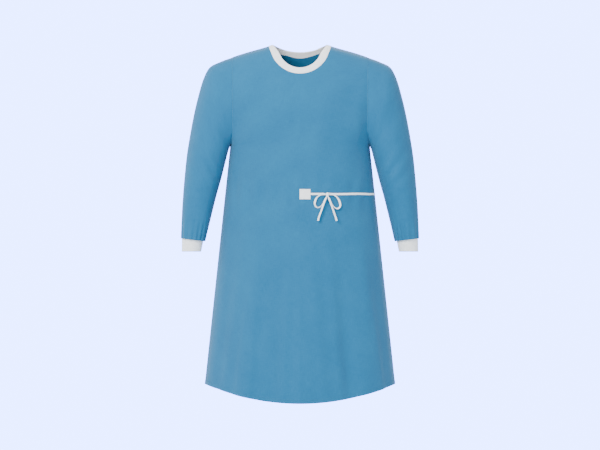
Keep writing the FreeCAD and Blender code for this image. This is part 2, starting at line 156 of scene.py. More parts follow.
def make_stage():
    camera_data = bpy.data.cameras.new("front_camera")
    camera_data.type = "ORTHO"
    camera_data.ortho_scale = VIEW_WIDTH
    camera = add_object("front_camera", camera_data)
    camera.location = (0, -5, VIEW_CENTRE_Z)
    camera.rotation_euler = (math.radians(90), 0, 0)
    bpy.context.scene.camera = camera

    middle = (0, 0, -0.5)
    add_light("key_light", (-1.9, -3.0, 1.5), middle, 1.6, 215, (1.0, 0.985, 0.96))
    add_light("fill_light", (2.6, -2.6, 0.2), middle, 2.6, 52, (0.94, 0.97, 1.0))
    add_light("back_light", (0.6, 3.0, 1.3), middle, 2.4, 112, (1.0, 0.99, 0.97))
    add_light("top_light", (0, -0.5, 1.9), (0, 0, -0.1), 1.2, 20, (1.0, 1.0, 1.0))
    add_light("side_light", (-2.8, 1.2, 0.4), middle, 2.2, 48, (0.95, 0.98, 1.0))

    world = bpy.data.worlds.new("studio")
    world.use_nodes = True
    tree = world.node_tree
    soft = tree.nodes["Background"]
    soft.inputs["Color"].default_value = SOFT_LIGHT
    soft.inputs["Strength"].default_value = 1.05
    seen = add_node(tree, "ShaderNodeBackground", {"Color": BACKDROP, "Strength": 1.0})
    straight = add_node(tree, "ShaderNodeLightPath").outputs["Is Camera Ray"]
    mix = add_node(tree, "ShaderNodeMixShader", {0: straight})
    tree.links.new(soft.outputs[0], mix.inputs[1])
    tree.links.new(seen.outputs[0], mix.inputs[2])
    tree.links.new(mix.outputs[0], tree.nodes["World Output"].inputs["Surface"])
    bpy.context.scene.world = world

    bpy.ops.mesh.primitive_circle_add(vertices=96, radius=6, fill_type="NGON",
                                      location=(0, 0, FLOOR_Z))
    floor = bpy.context.object
    floor.name = "floor"
    material = bpy.data.materials.new("pale_floor")
    material.use_nodes = True
    shader = material.node_tree.nodes["Principled BSDF"]
    shader.inputs["Base Color"].default_value = FLOOR_COLOUR
    shader.inputs["Roughness"].default_value = 0.9
    floor.data.materials.append(material)


# ---- materials ----

def new_material(name, roughness, sheen):
    material = bpy.data.materials.new(name)
    material.use_nodes = True
    shader = material.node_tree.nodes["Principled BSDF"]
    shader.inputs["Roughness"].default_value = roughness
    shader.inputs["Specular IOR Level"].default_value = 0.25
    shader.inputs["Sheen Weight"].default_value = sheen
    shader.inputs["Sheen Roughness"].default_value = 0.5
    return material, material.node_tree, shader


def add_node(tree, kind, inputs=None, **settings):
    item = tree.nodes.new(kind)
    for key, value in settings.items():
        setattr(item, key, value)
    for key, value in (inputs or {}).items():
        if hasattr(value, "links"):
            tree.links.new(value, item.inputs[key])
        else:
            item.inputs[key].default_value = value
    return item


def noise(tree, where, scale, detail=3, roughness=0.55):
    return add_node(tree, "ShaderNodeTexNoise", {
        "Vector": where, "Scale": scale, "Detail": detail, "Roughness": roughness}).outputs["Fac"]


def math_node(tree, operation, first, second=0.5):
    return add_node(tree, "ShaderNodeMath", {0: first, 1: second}, operation=operation).outputs[0]


def times(tree, first, second):
    return math_node(tree, "MULTIPLY", first, second)


def plus(tree, first, second):
    return math_node(tree, "ADD", first, second)


def bump_normal(tree, height, strength, distance, **more):
    return add_node(tree, "ShaderNodeBump", {
        "Height": height, "Strength": strength, "Distance": distance, **more}).outputs["Normal"]


def two_tone(tree, fac, dark, light, low=0.3, high=0.7):
    ramp = add_node(tree, "ShaderNodeValToRGB", {"Fac": fac})
    ramp.color_ramp.elements[0].position = low
    ramp.color_ramp.elements[0].color = (*dark, 1)
    ramp.color_ramp.elements[1].position = high
    ramp.color_ramp.elements[1].color = (*light, 1)
    return ramp.outputs["Color"]


def weave(tree, pitch):
    """Plain weave from the piece's own UV, which is in metres: threads over and under."""
    uv = add_node(tree, "ShaderNodeUVMap", uv_map="cloth").outputs["UV"]
    split = add_node(tree, "ShaderNodeSeparateXYZ", {"Vector": uv})
    turn = math.pi / pitch
    warp = math_node(tree, "SINE", times(tree, split.outputs["X"], turn))
    weft = math_node(tree, "SINE", times(tree, split.outputs["Y"], turn))
    over = times(tree, warp, weft)
    return uv, math_node(tree, "MULTIPLY_ADD", over, 0.5)


def slub(tree, uv, stretch):
    """Thick and thin threads that run along one direction of the weave."""
    streaks = add_node(tree, "ShaderNodeMapping", {"Vector": uv, "Scale": stretch})
    return times(tree, noise(tree, streaks.outputs["Vector"], 900, 2), 0.35)


def make_cloth(name, dark, light, pitch, bump):
    """Woven cloth: threads, slubs, a soft cloudiness and a slight crumple."""
    material, tree, shader = new_material(name, 0.86, 0.12)
    uv, threads = weave(tree, pitch)
    grain = plus(tree, slub(tree, uv, (1.0, 0.06, 1.0)), slub(tree, uv, (0.06, 1.0, 1.0)))
    grain = plus(tree, grain, times(tree, noise(tree, uv, 9, 4), 0.3))
    tree.links.new(two_tone(tree, grain, dark, light, 0.36, 0.64), shader.inputs["Base Color"])
    height = plus(tree, times(tree, threads, 0.6), times(tree, grain, 0.8))
    relief = bump_normal(tree, height, bump, 0.0004)
    crumple = bump_normal(tree, noise(tree, uv, 16, 3, 0.5), 0.35, 0.004, Normal=relief)
    tree.links.new(crumple, shader.inputs["Normal"])
    return material


def make_knit(name, dark, light, rib):
    """Rib knit: rounded columns along V with small V-shaped stitches, and painted shade that darkens
    the colour in the hollows between them.
    """
    material, tree, shader = new_material(name, 0.92, 0.2)
    uv = add_node(tree, "ShaderNodeUVMap", uv_map="cloth").outputs["UV"]
    split = add_node(tree, "ShaderNodeSeparateXYZ", {"Vector": uv})
    column = math_node(tree, "SINE", times(tree, split.outputs["X"], 2 * math.pi / rib))
    lean = times(tree, math_node(tree, "ABSOLUTE", column), 0.6 * rib)
    along = plus(tree, split.outputs["Y"], lean)
    loops = math_node(tree, "SINE", times(tree, along, 2 * math.pi / (0.8 * rib)))
    height = plus(tree, times(tree, column, 0.5), times(tree, loops, 0.18))
    height = plus(tree, height, times(tree, noise(tree, uv, 700, 3), 0.25))
    # painted shade: the colour follows the knit's height, so it is darker in the hollows between the
    # rib columns and loops; the noise adds random flecks of tone
    level = math_node(tree, "MULTIPLY_ADD", height, 0.5)
    tree.links.new(two_tone(tree, level, dark, light, 0.25, 0.8), shader.inputs["Base Color"])
    tree.links.new(bump_normal(tree, height, 0.5, 0.0006), shader.inputs["Normal"])
    return material


BLUE_DARK = (0.005, 0.102, 0.222)
BLUE_LIGHT = (0.009, 0.138, 0.278)
# the dark white is the random tone of the slubs in the white cloths, and in the rib knit it is the
# painted shade in the hollows
WHITE_DARK = (0.86, 0.87, 0.88)
WHITE_LIGHT = (0.96, 0.965, 0.97)


def make_materials():
    return {
        "gown": make_cloth("blue_polycotton", BLUE_DARK, BLUE_LIGHT, 0.0005, 0.35),
        # the rib knit's darker tone is painted shade in the hollows between its ribs
        "rib": make_knit("white_rib_knit", WHITE_DARK, WHITE_LIGHT, 0.0026),
        "tape": make_cloth("white_herringbone_tape", WHITE_DARK, WHITE_LIGHT, 0.0007, 0.5),
        "patch": make_cloth("white_cotton_patch", WHITE_DARK, WHITE_LIGHT, 0.0006, 0.45),
        "thread": make_cloth("blue_thread", (0.012, 0.12, 0.25), (0.02, 0.17, 0.32), 0.0004, 0.6),
        "white_thread": make_cloth("white_thread", (0.62, 0.65, 0.68), (0.8, 0.82, 0.84),
                                   0.0004, 0.6),
        "hook": make_cloth("hook_strip", (0.70, 0.73, 0.76), (0.86, 0.88, 0.9), 0.0012, 1.0),
    }


# ---- mesh building: points are in millimetres until the mesh is made ----

def smooth(value, low, high):
    share = np.clip((np.asarray(value, float) - low) / (high - low), 0, 1)
    return share * share * (3 - 2 * share)


def join(*columns):
    """Coordinates side by side, as the last axis."""
    return np.stack(columns, axis=-1)


def full_turn(count):
    return np.linspace(0, 2 * math.pi, count, endpoint=False)


def unit(vectors):
    return vectors / (np.linalg.norm(vectors, axis=-1, keepdims=True) + 1e-12)


def running_length(points):
    steps = np.linalg.norm(np.diff(points, axis=0), axis=1)
    return np.concatenate([[0], np.cumsum(steps)])


def looped(line):
    return np.concatenate([line, line[:1]])


def at_lengths(wanted, length, points):
    """Points of a polyline where its running length has the wanted values."""
    return np.stack([np.interp(wanted, length, column) for column in points.T], axis=-1)


def resample(points, count):
    """The polyline's points at evenly spread lengths."""
    points = np.asarray(points, float)
    length = running_length(points)
    return at_lengths(np.linspace(0, 1, count) * length[-1], length, points)


def curved(knots, values, wanted):
    """Smooth interpolation of each column of values through the knots (cubic Hermite)."""
    knots = np.asarray(knots, float)
    values = np.asarray(values, float)
    slope = np.gradient(values, knots, axis=0)
    place = np.clip(np.searchsorted(knots, wanted, side="right") - 1, 0, len(knots) - 2)
    step = knots[place + 1] - knots[place]
    share = ((wanted - knots[place]) / step)[:, None]
    step = step[:, None]
    return ((2 * share ** 3 - 3 * share ** 2 + 1) * values[place]
            + (share ** 3 - 2 * share ** 2 + share) * step * slope[place]
            + (3 * share ** 2 - 2 * share ** 3) * values[place + 1]
            + (share ** 3 - share ** 2) * step * slope[place + 1])


def make_mesh(name, points, faces, uvs, material):
    """points (n, 3) in mm, faces as lists of indices, uvs as one (u, v) in mm per face corner."""
    mesh = bpy.data.meshes.new(name)
    mesh.from_pydata((np.asarray(points) * MM).tolist(), [], faces)
    layer = mesh.uv_layers.new(name="cloth")
    layer.data.foreach_set("uv", (np.asarray(uvs, float) * MM).astype(np.float32).ravel())
    mesh.polygons.foreach_set("use_smooth", [True] * len(mesh.polygons))
    mesh.materials.append(material)
    mesh.update()
    item = add_object(name, mesh)
    return item


def grid_faces(rows, columns, closed, start=0):
    """Faces of a grid, and for each corner its row and column, where the last column may wrap."""
    row, column = np.meshgrid(np.arange(rows - 1), np.arange(columns - (not closed)), indexing="ij")
    corners = [(row, column), (row, column + 1), (row + 1, column + 1), (row + 1, column)]
    index = np.stack([start + r * columns + c % columns for r, c in corners], axis=-1)
    where_row = np.stack([r for r, _ in corners], axis=-1)
    where_column = np.stack([c for _, c in corners], axis=-1)
    return index.reshape(-1, 4), where_row.reshape(-1), where_column.reshape(-1)


def grid_uv(points, closed):
    """Lengths along the rows from the first column, and along that column."""
    if closed:
        points = np.concatenate([points, points[:, :1]], axis=1)
    steps = np.linalg.norm(np.diff(points, axis=1), axis=2)
    along = np.concatenate([np.zeros((len(points), 1)), np.cumsum(steps, axis=1)], axis=1)
    up = running_length(points[:, 0])
    return join(along, np.broadcast_to(up[:, None], along.shape))


def cloth_piece(name, grids, material, thick=0.9, closed=False, flip=False):
    """One sheet made of grids that share edge points."""
    points, faces, uvs = [], [], []
    count = 0
    for grid in grids:
        rows, columns = grid.shape[:2]
        index, row, column = grid_faces(rows, columns, closed, count)
        uvs.append(grid_uv(grid, closed)[row, column])
        if flip:
            index = index[:, ::-1]
            uvs[-1] = uvs[-1].reshape(-1, 4, 2)[:, ::-1].reshape(-1, 2)
        faces.append(index)
        points.append(grid.reshape(-1, 3))
        count += rows * columns
    item = make_mesh(name, np.concatenate(points), np.concatenate(faces).tolist(),
                     np.concatenate(uvs), material)
    work = bmesh.new()
    work.from_mesh(item.data)
    if len(grids) > 1:
        bmesh.ops.remove_doubles(work, verts=work.verts, dist=0.00002)
    for edge in work.edges:
        edge.smooth = not edge.is_boundary
    work.to_mesh(item.data)
    work.free()
    if thick:
        shell = item.modifiers.new("thickness", "SOLIDIFY")
        shell.thickness = thick * MM
        shell.offset = -1
    return item


def ribbon(name, first_edge, second_edge, normals, thick, material, slot, bulge=0, ribs=None,
           closed=False, sides=16):
    """A flat closed band between two edges, with rounded sides. ribs is (pitch, height) in mm."""
    middle = (first_edge + second_edge) / 2
    half = (second_edge - first_edge) / 2
    normals = unit(normals)
    angle = np.arange(sides) * 2 * math.pi / sides + math.pi / sides
    across = np.sign(np.cos(angle)) * np.abs(np.cos(angle)) ** 0.5
    deep = np.sign(np.sin(angle)) * np.abs(np.sin(angle)) ** 0.6
    deep = deep[None, :] * np.broadcast_to(np.asarray(thick, float), (len(middle),))[:, None] / 2
    if ribs:
        along = running_length(middle)
        wave = np.cos(along * 2 * math.pi / ribs[0])[:, None]
        deep = deep + ribs[1] * wave * np.sign(deep) * (1 - np.abs(across) ** 4)[None, :]
    deep = deep + bulge * (1 - across ** 2)[None, :]
    points = (middle[:, None] + half[:, None] * across[None, :, None]
              + normals[:, None] * deep[..., None])
    stations = len(middle)
    if closed:
        points = looped(points)
    index, row, column = grid_faces(len(points), sides, True)
    uv = grid_uv(points, True)[row, column][:, ::-1]
    if closed:
        index = index % (stations * sides)
        points = points[:-1]
    faces = index.tolist()
    uvs = [uv]
    if not closed:
        faces.append(list(range(sides)))
        faces.append([(stations - 1) * sides + k for k in range(sides)][::-1])
        uvs += [np.zeros((2 * sides, 2))]
    item = make_mesh(name, points.reshape(-1, 3), faces, np.concatenate(uvs), material)
    work = bmesh.new()
    work.from_mesh(item.data)
    bmesh.ops.recalc_face_normals(work, faces=work.faces)
    work.to_mesh(item.data)
    work.free()
    return item


STITCH_LIFT = 0.2


def stitches(name, path, normals, material, pitch=4.4, length=3.0, radius=0.42):
    """A row of sewn stitches: short rounded threads that dip into the cloth at both ends."""
    points, faces = [], []
    total = running_length(path)
    starts = np.arange(pitch / 2, total[-1] - pitch / 2, pitch)
    shares = np.array([0, 0.2, 0.5, 0.8, 1])
    for start in starts:
        wanted = start + shares * length
        line = at_lengths(wanted, total, path)
        up = unit(at_lengths(wanted, total, normals))
        ahead = unit(np.gradient(line, axis=0))
        side = unit(np.cross(up, ahead))
        rise = (STITCH_LIFT + radius * np.array([-1.3, -0.2, 0.3, -0.2, -1.3]))[:, None]
        size = (radius * np.array([0.5, 0.9, 1, 0.9, 0.5]))[:, None]
        base = len(points) * 20
        turn = np.arange(4) * math.pi / 2
        ring = [line + up * rise + size * (side * math.cos(t) + up * math.sin(t)) for t in turn]
        points.append(np.stack(ring, axis=1).reshape(-1, 3))
        for step in range(4):
            for k in range(4):
                after = (k + 1) % 4
                faces.append([base + step * 4 + k, base + step * 4 + after,
                              base + step * 4 + 4 + after, base + step * 4 + 4 + k])
        faces.append([base + k for k in range(4)][::-1])
        faces.append([base + 16 + k for k in range(4)])
    points = np.concatenate(points)
    uvs = points[[index for face in faces for index in face]][:, [0, 2]]
    return make_mesh(name, points, faces, uvs, material)


# ---- folds of the cloth ----

def skirt_folds(across, z, phase):
    """Soft vertical folds that grow towards the hem. across runs from 0 in the middle to 1."""
    grow = smooth(-z, 470, 1190)
    wave = (np.sin(across * 9.2 + phase) + 0.55 * np.sin(across * 17.5 + 1.7 * phase + 0.6)
            + 0.3 * np.sin(across * 31 + 0.9 * phase + z / 190))
    return 7.5 * grow * wave


def body_folds(x, z, phase):
    """Small slanting folds above and at the waist tie."""
    tie = np.exp(-((z - TIE_Z) / 46) ** 2)
    gather = 2.0 * tie * np.sin(x / 7.5 + phase + 0.4 * np.sin(x / 31))
    drag = 2.6 * smooth(-z, 150, 260) * (1 - smooth(-z, 560, 700))
    slant = drag * np.sin((np.abs(x) * 0.55 + z * 0.85) / 24 + phase + 0.7 * np.sin(x / 60))
    yoke = 2.4 * smooth(-z, 90, 150) * (1 - smooth(-z, 300, 420))
    hang = yoke * np.sin((np.abs(x) * 0.9 - z * 0.28) / 19 + 1.3 * phase)
    return gather + slant + hang


def window(value, low, high, soft):
    """1 between low and high, and 0 beyond a soft border."""
    return smooth(value, low - soft, low) * (1 - smooth(value, high, high + soft))


def pressed_front(x, z):
    """1 where the bow, the patch or the tie lies on the front."""
    bow = window(x, 45, 140, 25) * window(z, -595, -490, 30)
    patch = window(x, -6, 39, 12) * window(z, -520, -478, 12)
    strap = window(z, TIE_Z - 6, TIE_Z + 6, 7) * smooth(x, 5, 20)
    return np.maximum(np.maximum(bow, patch), strap)


def pressed_back(x, z):
    """1 where the belt and its patch lie on the back."""
    patch = window(x, 76, 110, 12) * window(z, -515, -481, 12)
    return np.maximum(patch, window(z, TIE_Z - 6, TIE_Z + 6, 7) * smooth(x, 70, 80))


# ---- edges of the body panels, in the front view ----

def ridge_z(x):
    """Height of the torso's outline at a half width."""
    upper = LEVELS > -90
    return np.interp(x, WIDTHS[upper][::-1], LEVELS[upper][::-1])


def side_edge():
    """Side seam and armhole, from the hem up."""
    z = np.concatenate([np.linspace(HEM_SIDE_Z, ARMPIT_Z, LOWER_ROWS),
                        np.linspace(ARMPIT_Z, SHOULDER_Z, UPPER_ROWS)[1:]])
    return join(side_x(z), z)


def hem_z(x):
    return HEM_ARC_Z - np.sqrt(HEM_RADIUS ** 2 - np.asarray(x, float) ** 2)


def coons(left, right, bottom, top):
    """The grid between four edges of the front view: rows go up, columns go from left to right."""
    rows, columns = len(left), len(bottom)
    up = np.linspace(0, 1, rows)[:, None, None]
    over = np.linspace(0, 1, columns)[None, :, None]
    flat_bottom = (1 - over) * bottom[0] + over * bottom[-1]
    flat_top = (1 - over) * top[0] + over * top[-1]
    return ((1 - over) * left[:, None] + over * right[:, None]
            + (1 - up) ** 2 * (bottom[None] - flat_bottom) + up ** 4 * (top[None] - flat_top))


LOWER_ROWS = 150
UPPER_ROWS = 66
HALF_COLUMNS = 56


def neck_arc(circle, end_x, count):
    """From the circle's lowest point, round to the point at end_x."""
    radius, rise = circle
    angle = np.linspace(0, math.asin(min(end_x / radius, 1)), count)
    return join(radius * np.sin(angle), rise - radius * np.cos(angle))


def band_edge(side):
    """The outer edge of the neckband in the front view, from the middle to the shoulder.

    side is -1 in front and 1 behind, where the band is a little deeper in the middle.
    """
    if side < 0:
        flat = neck_arc(FRONT_BAND, 93, 60)
        last = [flat[-4], (98, -22.5), (101.8, -12.5), (BAND_SIDE_X, ridge_z(BAND_SIDE_X))]
    else:
        flat = neck_arc(BACK_BAND, 88, 60)
        flat[:, 1] -= 4.8 * (1 - smooth(flat[:, 0], 0, 60))
        last = [flat[-4], (93, -17.5), (99, -12), (BAND_SIDE_X, ridge_z(BAND_SIDE_X))]
    bend = curved([0, 1, 2, 3], last, np.linspace(0, 3, 24))
    return np.concatenate([flat[:-4], bend])


def back_band_z(x, edge):
    """Height of the back neckband's upper or lower edge."""
    if edge == "low":
        line = band_edge(1)
        return np.interp(x, line[:, 0], line[:, 1])
    return BACK_NECK[1] - np.sqrt(BACK_NECK[0] ** 2 - np.minimum(x, BAND_TOP_X) ** 2)


# how far the cloth's edge goes up under the band, and where it meets the shoulder
UNDER_BAND = 1.8
CORNER_X = BAND_SIDE_X - 4


def front_half_grid():
    """The left half of the front panel, from its middle line to the side seam and armhole."""
    neck = band_edge(-1) + np.array([0, UNDER_BAND])
    neck[-1] = (CORNER_X, ridge_z(CORNER_X))
    middle = np.array([(0, ARMPIT_Z), neck[0]])
    rise = running_length(middle)[-1]
    rows = round((UPPER_ROWS - 1) * rise / (rise + running_length(neck)[-1]))
    upper = np.concatenate([resample(middle, rows + 1), resample(neck, UPPER_ROWS - rows)[1:]])
    lower = join(np.zeros(LOWER_ROWS), np.linspace(hem_z(0), ARMPIT_Z, LOWER_ROWS))
    left = np.concatenate([lower, upper[1:]])
    right = side_edge()
    x = np.linspace(0, right[0, 0], HALF_COLUMNS)
    bottom = join(x, hem_z(x))
    x = np.linspace(left[-1, 0], ARMHOLE_X, HALF_COLUMNS)
    top = join(x, ridge_z(x))
    bottom[-1] = right[0]
    top[0], top[-1] = left[-1], right[-1]
    return coons(left, right, bottom, top)


def border_fade(grid):
    """0 at the seams of a panel grid and 1 inside it."""
    rows, columns = grid.shape[:2]
    up = np.linspace(0, 1, rows)[:, None]
    over = np.linspace(0, 1, columns)[None, :]
    return smooth(1 - over, 0, 0.16) * smooth(1 - up, 0, 0.1)


def hem_lift(z, x):
    """The turned hem is a little thicker than the cloth."""
    return 0.5 * (1 - smooth(z - hem_z(np.clip(x, -700, 700)), 14, 15.5))


def front_surface(plane, phase):
    x, z = plane[..., 0], plane[..., 1]
    wide, _ = torso_size(z)
    fold = skirt_folds(np.abs(x) / wide, z, phase) + body_folds(x, z, phase)
    fold = fold * border_fade(plane)
    fold = np.minimum(fold, 4.5 + fold * 0.3)
    pressed = pressed_front(x, z)
    fold = fold * (1 - pressed) - 0.4 * pressed * border_fade(plane)
    return on_torso(x, z, -1, fold + hem_lift(z, x))


def mirrored(points):
    return points * np.array([-1, 1, 1])


# ---- back panels ----

def free_edge(start_x, lean):
    """The free edge of a back panel from the hem up to the neckband."""
    z = np.linspace(-1300, -20, 2000)
    x = start_x + lean * (EDGE_TOP_Z - z) * EDGE_SLANT
    edge = band_edge(1)
    band = np.interp(np.abs(x), edge[:, 0], edge[:, 1]) + UNDER_BAND
    keep = (z >= hem_z(x)) & (z <= band)
    return join(x[keep], z[keep])


def back_plane(start_x, lean, side):
    """The grid of a back panel between its free edge and the seam on one side (1 left, -1 right)."""
    left = free_edge(start_x, lean)
    split = np.interp(ARMPIT_Z, left[:, 1], np.arange(len(left)))
    low_part = resample(left[:int(split) + 1], LOWER_ROWS)
    high_part = resample(left[int(split):], UPPER_ROWS)
    left = np.concatenate([low_part, high_part[1:]])
    right = side_edge() * (side, 1)
    columns = HALF_COLUMNS + 22
    x = np.linspace(left[0, 0], right[0, 0], columns)
    bottom = join(x, hem_z(x))
    bottom[-1] = right[0]
    edge = band_edge(1) + np.array([0, UNDER_BAND])
    x = np.linspace(left[-1, 0], side * CORNER_X, 40)
    neck = join(x, np.interp(np.abs(x), edge[:, 0], edge[:, 1]))
    neck[-1, 1] = ridge_z(CORNER_X)
    x = np.linspace(CORNER_X, ARMHOLE_X, 40)[1:]
    shoulder = join(side * x, ridge_z(x))
    top = resample(np.concatenate([neck, shoulder]), columns)
    top[0], top[-1] = left[-1], right[-1]
    return coons(left, right, bottom, top)


def back_surface(plane, phase, inset):
    x, z = plane[..., 0], plane[..., 1]
    wide, _ = torso_size(z)
    fold = skirt_folds(np.abs(x) / wide + 0.35 * np.sign(x), z, phase) * 0.8
    fold = (fold + 0.8 * body_folds(x, z, phase)) * border_fade(plane)
    calm = smooth(-z, 60, 120) * (1 - pressed_back(x, z))
    from_edge = np.abs(x - plane[:, :1, 0])
    fold = fold + 0.45 * (1 - smooth(from_edge, 11.5, 13))
    return on_torso(x, z, 1, fold * calm - inset + hem_lift(z, x))


def lap_inset(x, z):
    """How far the inner back layer lies inside the outer surface."""
    edge = OUTER_EDGE_X + (EDGE_TOP_Z - z) * EDGE_SLANT
    return LAP_INSET * (1 - smooth(x - edge, 2, 16))


# ---- sleeve ----

# station, outer edge x and z, inner edge x and z, half depth
SLEEVE_LINE = np.array([
    (0.0, 225, -41, 232, -334, 78), (0.5, 266, -56, 233, -339, 80), (1.0, 304, -77, 238, -350, 80),
    (1.35, 320, -106, 242, -364, 78), (2.0, 345, -190, 249, -392, 74),
    (3.0, 374, -338, 263, -447, 67), (4.0, 386, -440, 280, -508, 60),
    (5.0, 394, -545, 298, -580, 51), (6.0, 398, -645, 316, -655, 41),
])
# the two cloths of a sleeve meet where it crosses a slanting plane: direction and distance
SLEEVE_SPLIT = (0.5, -0.866)
SPLIT_AT = 0.5 * 312 + 0.866 * 366
RING = 2 * (UPPER_ROWS - 1)


def armhole_loop():
    """The armhole's points: down the front from the shoulder to the armpit, then up the back."""
    z = np.linspace(ARMPIT_Z, SHOULDER_Z, UPPER_ROWS)[::-1]
    x = side_x(z)
    front = on_torso(x, z, -1)
    back = on_torso(x, z, 1)[::-1]
    return np.concatenate([front[:-1], back[:-1]])


def ellipse_rings(rows):
    """Rings of the sleeve at stations: (stations, RING, 3)."""
    angle = full_turn(RING)
    outer = rows[:, 0:2]
    inner = rows[:, 2:4]
    middle = (outer + inner) / 2
    half = (outer - inner) / 2
    flat = middle[:, None] + half[:, None] * np.cos(angle)[None, :, None]
    deep = -rows[:, 4:5] * np.sin(angle)[None]
    return join(flat[..., 0], deep, flat[..., 1])


def sleeve_folds(stations, phase):
    """Outward moves of the sleeve's rings."""
    angle = full_turn(RING)[None]
    place = stations[:, None]
    face = np.abs(np.sin(angle)) ** 1.5
    elbow = np.exp(-((place - 3.3) / 0.75) ** 2)
    crease = 3.4 * elbow * np.sin(place * 9.5 + 1.6 * np.cos(angle) + phase)
    crease = crease * (0.6 - 0.4 * np.cos(angle))
    along = 2.0 * smooth(place, 0.5, 1.5) * np.sin(3 * angle + 0.8 * place + phase)
    drag = 1.5 * smooth(place, 0.6, 1.4) * (1 - smooth(place, 2.6, 3.4))
    pull = drag * np.sin(place * 6.0 - 2.2 * np.cos(angle) + 2 * phase)
    gather = 1.7 * smooth(place, 5.0, 5.9) * np.sin(15 * angle + 1.5 * np.sin(3 * angle) + phase)
    return (crease + along + pull) * face * (1 - 0.7 * smooth(place, 5.6, 6)) + gather * face ** 0.3


def sleeve_rings(stations, phase):
    rows = curved(SLEEVE_LINE[:, 0], SLEEVE_LINE[:, 1:], stations)
    rings = ellipse_rings(rows)
    rest = ellipse_rings(SLEEVE_LINE[:1, 1:])[0]
    fade = (1 - smooth(stations, 0, 1.5))[:, None, None]
    rings = rings + fade * (armhole_loop() - rest)[None]
    centre = rings.mean(axis=1, keepdims=True)
    outward = unit(rings - centre)
    return rings + outward * sleeve_folds(stations, phase)[..., None]


# ---- building ----

def tape_along(name, points, tilt, material, body):
    """A flat tape that follows a cord's spline. tilt turns its flat side away from the cloth."""
    line = points / MM
    ahead = unit(np.gradient(line, axis=0))
    across = unit(np.cross(torso_normal(line), ahead))
    outward = unit(np.cross(ahead, across))
    turn = np.radians(tilt)[:, None]
    width = across * np.cos(turn) + outward * np.sin(turn)
    normal = unit(np.cross(width, ahead))
    # tape gathers narrower where it goes into the knot
    share = np.linspace(0, 1, len(line))
    if name.startswith("bow_tail"):
        spread = smooth(share, 0, 0.1)
    else:
        spread = smooth(share, 0.06, 0.34) * smooth(1 - share, 0, 0.1)
    half = width * TAPE_WIDTH / 2 * (0.45 + 0.55 * spread)[:, None]
    item = ribbon(name, line - half, line + half, normal, TAPE_THICK, material, "white_tape",
                  sides=12)
    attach(item, body)
    return item


TAPE_WIDTH = 7
TAPE_THICK = 0.7
BOW_ROUTES = {
    "bow_loop_right": [
        (85.2, -142.2, -500.5), (76, -144.2, -499.5), (67, -146.2, -501.5), (58.5, -148, -507),
        (52.5, -149.3, -515.5), (49, -150.4, -526), (49.5, -151.2, -535.5), (54.5, -151.2, -542.5),
        (62.5, -150.2, -544), (70, -148.6, -539.5), (76.5, -147, -531.5), (81.5, -145.4, -522),
        (85.5, -144.2, -513.5), (88.5, -143.4, -506.2)],
    "bow_loop_left": [
        (97.2, -141.2, -500.5), (106.5, -138.6, -499.5), (115.5, -136, -502), (123.5, -133.8, -508),
        (129.5, -132.2, -517), (134, -131, -527.5), (135, -131.4, -537.5), (130.5, -133.4, -545.5),
        (122.5, -136.2, -547.5), (114.5, -138.4, -542.5), (108, -139.8, -534), (102.5, -141, -524.5),
        (98, -142.6, -514.5), (94.5, -143.2, -506.2)],
    "bow_tail_right": [
        (89.4, -146.6, -506), (85.6, -147.8, -514), (81.4, -149.8, -524), (77.4, -151.4, -535),
        (73.6, -152.9, -546.5), (69.6, -154.2, -558), (65.2, -155.8, -569), (61.4, -157.4, -580),
        (60.6, -158.6, -587.5)],
    "bow_tail_left": [
        (93.1, -146.4, -506), (97.2, -146.2, -514), (101, -146.6, -524), (104.6, -146.4, -535),
        (108.8, -146.2, -546.5), (113, -145.6, -558), (116.6, -145.4, -569), (120.6, -145.2, -580),
        (122.6, -145.6, -587.5)],
}
# length in metres, far end, and the tape's tilt in degrees at shares of that length
LOOP_TILT = ((0, 0.26, 0.46, 0.8, 1), (-14, -14, 52, 52, 10))
TAIL_TILT = ((0, 0.2, 0.8, 1), (15, 50, 50, 38))
BOW_TAPES = {
    "bow_loop_right": (0.123, "object", LOOP_TILT),
    "bow_loop_left": (0.130, "object", LOOP_TILT),
    "bow_tail_right": (0.088, "bare", TAIL_TILT),
    "bow_tail_left": (0.087, "bare", TAIL_TILT),
}


def spline_points(name, route):
    """Points along the smooth spline whose control points are the route's, in metres."""
    curve = bpy.data.curves.new(name, "CURVE")
    curve.dimensions = "3D"
    curve.resolution_u = 8
    spline = curve.splines.new("NURBS")
    spline.points.add(len(route) - 1)
    for point, place in zip(spline.points, route):
        point.co = (*(value * MM for value in place), 1)
    spline.order_u = 3
    spline.use_endpoint_u = True
    guide = add_object(name, curve)
    bpy.context.view_layer.update()
    mesh = bpy.data.meshes.new_from_object(guide)
    points = np.array([vertex.co for vertex in mesh.vertices], float)
    bpy.data.meshes.remove(mesh)
    bpy.data.objects.remove(guide)
    return points


def make_bow(materials):
    for name, (length, far_end, tilts) in BOW_TAPES.items():
        points = spline_points(f"{name}_line", BOW_ROUTES[name])
        tilt = np.interp(np.linspace(0, 1, len(points)), *tilts)
        body = "left_bow" if name.endswith("left") else "right_bow"
        item = tape_along(f"{name}_tape", points, tilt, materials["tape"], body)
        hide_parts(name)


